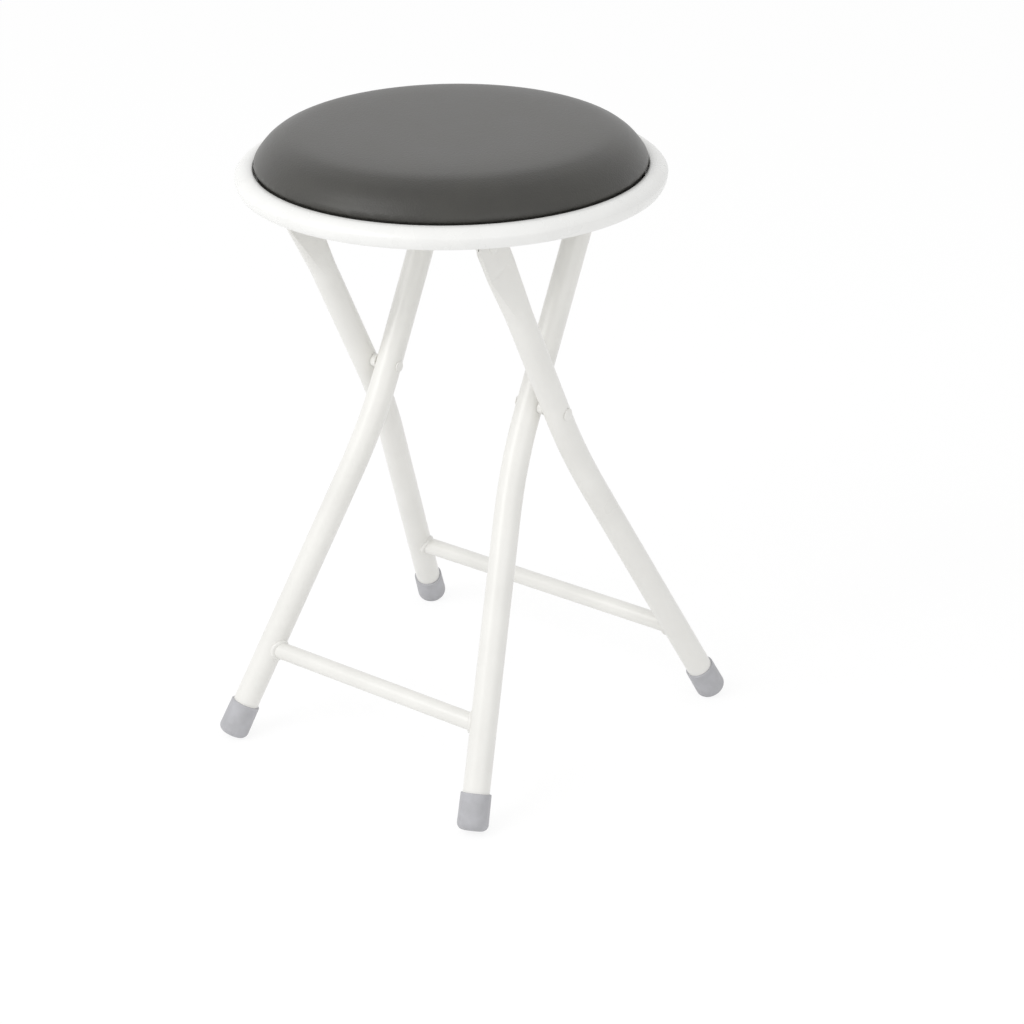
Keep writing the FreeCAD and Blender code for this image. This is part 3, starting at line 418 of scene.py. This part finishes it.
skin_radius = pan_radius - wall
inner_foot = (skin_radius - foot_inset, rim_bottom)
outer_foot = (pan_radius - foot_inset, rim_bottom)
rim = [(crest + wall, rim_top - wall)]
rim += arc(rim[-1], (skin_radius, rim_widest), -(top_arc - wall))
rim += arc(rim[-1], inner_foot, -(side_arc - wall))
rim.append(outer_foot)
rim += arc(rim[-1], (pan_radius, rim_widest), side_arc)
rim += arc(rim[-1], (crest, rim_top), top_arc, steps=18)
section = [(0, pan_bottom), (well_back, pan_bottom), (well_back, rim_top - wall - crest_round)] + rim
section += arc(rim[-1], (well, rim_top - crest_round), crest_arc, steps=4)
section += [(well, pan_top), (0, pan_top)]
work = turned(section, pan_facets, False)
# Gussets across the hollow of the rim
gusset_count, gusset_thickness = 24, 0.0016
half_wall = wall / 2
web = [(well_back - half_wall, rim_bottom + rib_depth), (inner_foot[0] + half_wall, rim_bottom + rib_depth),
       (skin_radius + half_wall, rim_widest)]
web += arc(web[-1], (crest + half_wall, rim_top - half_wall), top_arc - half_wall, steps=8)
web.append((well_back - half_wall, rim_top - half_wall - crest_round))
for number in range(gusset_count):
    turn = 2 * math.pi * number / gusset_count
    slab(work, [(radius * math.cos(turn), radius * math.sin(turn), level) for radius, level in web],
         Vector((-math.sin(turn), math.cos(turn), 0)) * gusset_thickness)
pan = settled("seat_pan_shell", work)
# Ring rib and radial ribs, cut away in two lanes for the rails and the folded legs
rib_count = 16
rib_root = pan_bottom + rib_depth / 4
rib_foot = pan_bottom - rib_depth
work = turned([(rib_ring - rib_thickness, rib_foot), (rib_ring, rib_foot),
               (rib_ring, rib_root), (rib_ring - rib_thickness, rib_root)], rib_facets, True)
for number in range(rib_count):
    turn = 2 * math.pi * number / rib_count
    along = Vector((math.cos(turn), math.sin(turn), 0))
    inner_end, outer_end = along * (rib_ring - rib_thickness / 2), along * (well_back - half_wall)
    slab(work, [inner_end + Vector((0, 0, rib_foot)), outer_end + Vector((0, 0, rib_foot)),
                outer_end + Vector((0, 0, rib_root)), inner_end + Vector((0, 0, rib_root))],
         Vector((-along.y, along.x, 0)) * rib_thickness)
ribs = settled("pan_ribs", work)
work = bmesh.new()
lane_margin = 0.004
rivet_head = 0.0016
blade_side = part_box("right_seat_rivet")[1].x - rivet_head
lane = (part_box("right_rail")[0].x - lane_margin, blade_side + lane_margin)
for side in (-1, 1):
    slab(work, [(side * x, y, pan_bottom) for x, y in (
        (lane[0], -pan_radius), (lane[1], -pan_radius), (lane[1], pan_radius), (lane[0], pan_radius))],
        Vector((0, 0, 3 * rib_depth)))
lanes = settled("rail_lanes", work)
notch = ribs.modifiers.new("lanes", "BOOLEAN")
notch.object = lanes
notch.operation = "DIFFERENCE"
notch.solver = "EXACT"
notch.use_self = True
bpy.context.view_layer.update()
notched = bpy.data.meshes.new_from_object(ribs.evaluated_get(bpy.context.evaluated_depsgraph_get()))
work = bmesh.new()
work.from_mesh(pan.data)
work.from_mesh(notched)
work.to_mesh(pan.data)
work.free()
for spare in (ribs, lanes):
    bpy.data.objects.remove(spare)
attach(pan, "seat")
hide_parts("seat_pan")

# The plastic is glossy and a touch cooler than the coat, with faint rings where it flowed outwards
moulded_white = bpy.data.materials.new("moulded_polypropylene_white")
moulded_white.use_nodes = True
tree = moulded_white.node_tree
shader = tree.nodes["Principled BSDF"]
shader.inputs["IOR"].default_value = 1.49
place = add(tree, "ShaderNodeTexCoord").outputs["Object"]
flow_mm = 22
flow = add(tree, "ShaderNodeTexNoise", {"Scale": 1000 / flow_mm, "Detail": 4}, {"Vector": place})
tint = add(tree, "ShaderNodeValToRGB", links={"Fac": flow.outputs["Fac"]})
tint.color_ramp.elements[0].position = 0.3
tint.color_ramp.elements[0].color = linear("#F2F2F0")
tint.color_ramp.elements[1].position = 0.7
tint.color_ramp.elements[1].color = linear("#F6F6F4")
tree.links.new(tint.outputs["Color"], shader.inputs["Base Color"])
gloss = add(tree, "ShaderNodeMapRange", {"To Min": 0.22, "To Max": 0.34}, {"Value": flow.outputs["Fac"]})
tree.links.new(gloss.outputs["Result"], shader.inputs["Roughness"])
# Flow rings stand about 3 mm apart round the gate; one wave of the texture is 2 pi / 20 of its scale
ring_mm = 3
wave_scale = 1000 * math.pi / 10 / ring_mm
flow_rings = add(tree, "ShaderNodeTexWave", {"Scale": wave_scale, "Distortion": 1, "Detail": 2},
                 {"Vector": place}, wave_type="RINGS", rings_direction="Z")
skin = add(tree, "ShaderNodeBump", {"Strength": 0.03, "Distance": 0.0001},
           {"Height": flow_rings.outputs["Fac"]})
tree.links.new(skin.outputs["Normal"], shader.inputs["Normal"])
pan.data.materials.append(moulded_white)
coat(moulded_white, *[f"inner_{side}_plug" for side in SIDES])


# Seat board: birch plywood disc under the padding, closed in by the cover and the pan.
# Its rotary-cut face veneer shows a long, pale brown grain, about 4 mm from fibre to fibre.
plywood = bpy.data.materials.new("birch_plywood")
plywood.use_nodes = True
tree = plywood.node_tree
shader = tree.nodes["Principled BSDF"]
shader.inputs["Roughness"].default_value = 0.7
place = add(tree, "ShaderNodeTexCoord").outputs["Object"]
grain_mm = 4
long_grain = add(tree, "ShaderNodeMapping", {"Scale": (0.08, 1, 1)}, {"Vector": place})
fibre = add(tree, "ShaderNodeTexNoise", {"Scale": 1000 / grain_mm, "Detail": 6},
            {"Vector": long_grain.outputs["Vector"]})
tint = add(tree, "ShaderNodeValToRGB", links={"Fac": fibre.outputs["Fac"]})
tint.color_ramp.elements[0].position = 0.3
tint.color_ramp.elements[0].color = linear("#B58F63")
tint.color_ramp.elements[1].position = 0.72
tint.color_ramp.elements[1].color = linear("#D9BC90")
tree.links.new(tint.outputs["Color"], shader.inputs["Base Color"])
coat(plywood, "seat_board")


# Cushion: a foam disc under a dark grey vinyl cover, pulled down over the board and stapled underneath.
# The pull rounds the shoulder and draws the side in where it drops behind the rim of the pan.
cover_low, cover_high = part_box("seat_cover")
base_level = cover_low.z
cushion_radius = cover_high.x
crown_level = cover_high.z
# The section starts a little small; the filling swells it, and the side bulges over the edge of the rim
swell = 0.0016
slack = 0.0002
bulge = 0.0015
board_and_cover, side_rise, base_inset = 0.007, 0.0035, 0.0014
board_top = base_level + board_and_cover
widest_level = board_top + side_rise
base_radius = cushion_radius - base_inset
side_radius, side_turn = 0.012, math.radians(34.4)
shoulder_radius, crown_slope = 0.035, math.radians(1.6)
side_steps, shoulder_steps, cushion_facets = 6, 12, 256
bend_centre = Vector((cushion_radius - side_radius, widest_level))
bend_end = Vector((math.cos(side_turn), math.sin(side_turn)))
shoulder_centre = bend_centre - (shoulder_radius - side_radius) * bend_end

# Half section from the middle of the base, up the side and over to the middle of the crown
section = [(base_radius * share, base_level) for share in (0, 0.5, 0.9, 1)]
section += [(base_radius, (base_level + board_top) / 2), (base_radius, board_top)]
for step in range(side_steps + 1):
    angle = side_turn * step / side_steps
    reach = side_radius - slack
    section.append((bend_centre.x + reach * math.cos(angle) + bulge * (1 - step / side_steps),
                    bend_centre.y + reach * math.sin(angle)))
for step in range(1, shoulder_steps + 1):
    angle = side_turn + (math.pi / 2 - crown_slope - side_turn) * step / shoulder_steps
    section.append((shoulder_centre.x + (shoulder_radius - slack) * math.cos(angle),
                    shoulder_centre.y + (shoulder_radius - slack) * math.sin(angle)))
edge_radius, edge_level = section[-1]
for share in (0.75, 0.5, 0.25, 0):
    rise = (crown_level - swell - edge_level) * (1 - share ** 2)
    section.append((edge_radius * share, edge_level + rise))

cushion = settled("seat_cushion", turned(section, cushion_facets, False))
form = bpy.data.objects.new("cushion_form", cushion.data.copy())
scene.collection.objects.link(form)

# The foam pushes the top up into a fuller crown; the hem is held fast and the rest softly
soft_hold, last_step = 0.12, 30
remesh = cushion.modifiers.new("even_mesh", "REMESH")
remesh.mode = "VOXEL"
remesh.voxel_size = 0.0042
wrap = cushion.modifiers.new("on_the_form", "SHRINKWRAP")
wrap.target = form
bpy.context.view_layer.update()
even = bpy.data.meshes.new_from_object(cushion.evaluated_get(bpy.context.evaluated_depsgraph_get()))
cushion.modifiers.clear()
cushion.data = even
held = cushion.vertex_groups.new(name="held")
for vertex in even.vertices:
    held.add([vertex.index], 1 if vertex.co.z < board_top else soft_hold, "REPLACE")
start = [vertex.co.copy() for vertex in even.vertices]
cloth = cushion.modifiers.new("filling", "CLOTH")
cloth.settings.quality = 6
cloth.settings.mass = 0.4
cloth.settings.air_damping = 10
cloth.settings.bending_stiffness = 5
cloth.settings.use_pressure = True
cloth.settings.uniform_pressure_force = 4
cloth.settings.effector_weights.gravity = 0
cloth.settings.vertex_group_mass = "held"
cloth.collision_settings.use_self_collision = False
cloth.point_cache.frame_start = 1
cloth.point_cache.frame_end = last_step
for frame_number in range(1, last_step + 1):
    scene.frame_set(frame_number)
filled = bpy.data.meshes.new_from_object(cushion.evaluated_get(bpy.context.evaluated_depsgraph_get()))
cushion.modifiers.clear()
cushion.vertex_groups.clear()
scene.frame_set(1)
# No point moves further than the swell that the cover allows
for vertex, before in zip(filled.vertices, start):
    shift = vertex.co - before
    if shift.length > swell:
        vertex.co = before + shift * (swell / shift.length)
cushion.data = filled
# The stretched side lies on the form again, fading out over the shoulder
fade_rise, fade = 0.014, 0.012
fade_top = widest_level + fade_rise
lower_side = cushion.vertex_groups.new(name="side")
for vertex in cushion.data.vertices:
    lower_side.add([vertex.index], min(max((fade_top - vertex.co.z) / fade, 0), 1), "REPLACE")
finer = cushion.modifiers.new("finer", "SUBSURF")
finer.levels = 1
finer.render_levels = 1
stretched = cushion.modifiers.new("stretched", "SHRINKWRAP")
stretched.target = form
stretched.vertex_group = "side"
bpy.context.view_layer.update()
smooth = bpy.data.meshes.new_from_object(cushion.evaluated_get(bpy.context.evaluated_depsgraph_get()))
cushion.modifiers.clear()
cushion.vertex_groups.clear()
cushion.data = smooth
bpy.data.objects.remove(form)
smooth.name = "seat_cushion"
for face in smooth.polygons:
    face.use_smooth = True

# Expanded vinyl on a knit back: semi-matt, with an embossed hide grain of about 1.1 mm
vinyl_hide = bpy.data.materials.new("expanded_vinyl_dark_grey")
vinyl_hide.use_nodes = True
tree = vinyl_hide.node_tree
shader = tree.nodes["Principled BSDF"]
shader.inputs["IOR"].default_value = 1.35
shader.inputs["Coat IOR"].default_value = 1.35
shader.inputs["Coat Weight"].default_value = 0.5
shader.inputs["Coat Roughness"].default_value = 0.4
place = add(tree, "ShaderNodeTexCoord").outputs["Object"]
shade_mm = 30
shade = add(tree, "ShaderNodeTexNoise", {"Scale": 1000 / shade_mm, "Detail": 5}, {"Vector": place})
tint = add(tree, "ShaderNodeValToRGB", links={"Fac": shade.outputs["Fac"]})
tint.color_ramp.elements[0].position = 0.3
tint.color_ramp.elements[0].color = linear("#3A3936")
tint.color_ramp.elements[1].position = 0.7
tint.color_ramp.elements[1].color = linear("#403F3B")
tree.links.new(tint.outputs["Color"], shader.inputs["Base Color"])
gloss = add(tree, "ShaderNodeMapRange", {"To Min": 0.4, "To Max": 0.5}, {"Value": shade.outputs["Fac"]})
tree.links.new(gloss.outputs["Result"], shader.inputs["Roughness"])
hide_mm = 1.1
hide = add(tree, "ShaderNodeTexVoronoi", {"Scale": 1000 / hide_mm, "Randomness": 1}, {"Vector": place},
           feature="SMOOTH_F1")
fold_mm = 5
folds = add(tree, "ShaderNodeTexNoise", {"Scale": 1000 / fold_mm, "Detail": 3}, {"Vector": place})
fold_share = 0.35
height = add(tree, "ShaderNodeMath", {1: fold_share}, operation="MULTIPLY_ADD", links={
    0: folds.outputs["Fac"], 2: hide.outputs["Distance"]})
skin = add(tree, "ShaderNodeBump", {"Strength": 0.75, "Distance": 0.00025},
           {"Height": height.outputs["Value"]})
tree.links.new(skin.outputs["Normal"], shader.inputs["Normal"])
smooth.materials.append(vinyl_hide)
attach(cushion, "seat")
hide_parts("seat_cover", "seat_foam")


# Studio: a white sweep of floor and world, one large soft light high on the left and a weak fill.
# The floor shows white to the camera and keeps a light shadow under the feet.
def seen(tree):
    """One for a ray from the eye, straight or by reflection or refraction, and nought for other light."""
    ray = add(tree, "ShaderNodeLightPath").outputs
    either = add(tree, "ShaderNodeMath", operation="MAXIMUM", links={
        0: ray["Is Camera Ray"], 1: ray["Is Glossy Ray"]})
    return add(tree, "ShaderNodeMath", operation="MAXIMUM", links={
        0: either.outputs["Value"], 1: ray["Is Transmission Ray"]}).outputs["Value"]


floor_mesh = bpy.data.meshes.new("floor")
floor_half = 6
floor_corners = [(x * floor_half, y * floor_half, 0) for x, y in ((-1, -1), (1, -1), (1, 1), (-1, 1))]
floor_mesh.from_pydata(floor_corners, [], [(0, 1, 2, 3)])
floor = bpy.data.objects.new("floor", floor_mesh)
scene.collection.objects.link(floor)
paper = bpy.data.materials.new("white_paper_sweep")
paper.use_nodes = True
tree = paper.node_tree
tree.nodes.clear()
glow_share = 0.8
share = add(tree, "ShaderNodeMath", {1: glow_share}, {0: seen(tree)}, operation="MULTIPLY")
matt = add(tree, "ShaderNodeBsdfDiffuse", {"Color": linear("#F6F6F6")})
glow = add(tree, "ShaderNodeEmission", {"Color": (1, 1, 1, 1), "Strength": 1.06})
mixed = add(tree, "ShaderNodeMixShader", links={
    "Fac": share.outputs["Value"], 1: matt.outputs["BSDF"], 2: glow.outputs["Emission"]})
add(tree, "ShaderNodeOutputMaterial", links={"Surface": mixed.outputs["Shader"]})
floor_mesh.materials.append(paper)

world = bpy.data.worlds.new("studio")
scene.world = world
world.use_nodes = True
tree = world.node_tree
tree.nodes.clear()
ambient = add(tree, "ShaderNodeBackground", {"Color": (1, 1, 1, 1), "Strength": 0.71})
white = add(tree, "ShaderNodeBackground", {"Color": (1, 1, 1, 1), "Strength": 1})
mixed = add(tree, "ShaderNodeMixShader", links={
    "Fac": seen(tree), 1: ambient.outputs["Background"], 2: white.outputs["Background"]})
add(tree, "ShaderNodeOutputWorld", links={"Surface": mixed.outputs["Shader"]})

lit_point = Vector((0, 0, 0.25))
lamps = (("key_light", (-0.7, -1.8, 1.72), 1.4, 20), ("fill_light", (1.9, -0.9, 1.0), 1.6, 4.5))
for name, spot, size, power in lamps:
    lamp = bpy.data.lights.new(name, "AREA")
    lamp.size = size
    lamp.energy = power
    holder = bpy.data.objects.new(name, lamp)
    holder.location = spot
    holder.rotation_euler = (lit_point - Vector(spot)).to_track_quat("-Z", "Y").to_euler()
    scene.collection.objects.link(holder)


# Camera: a long lens from the right front, well above the seat, turned a little on its own axis.
# The picture is shifted on the lens by as many pixels as the photograph's frame asks for.
azimuth, elevation, tilt = math.radians(38.38), math.radians(23.44), math.radians(-0.91)
aim, distance = Vector((0, 0, 0.23)), 1.90829
photo_width, focal_pixels = 1024, 2640.8
shift_right, shift_down = 56.74, 79.49
backward = Vector((math.sin(azimuth) * math.cos(elevation), -math.cos(azimuth) * math.cos(elevation),
                   math.sin(elevation)))
sideways = Vector((math.cos(azimuth), math.sin(azimuth), 0))
upright = backward.cross(sideways)
right = sideways * math.cos(tilt) + upright * math.sin(tilt)
upward = upright * math.cos(tilt) - sideways * math.sin(tilt)
lens = bpy.data.cameras.new("camera")
lens.sensor_width = 36
lens.lens = focal_pixels * lens.sensor_width / photo_width
lens.shift_x = shift_right / photo_width
lens.shift_y = -shift_down / photo_width
camera = bpy.data.objects.new("camera", lens)
facing = Matrix((right, upward, backward)).transposed().to_4x4()
camera.matrix_world = Matrix.Translation(aim + backward * distance) @ facing
scene.collection.objects.link(camera)
scene.camera = camera
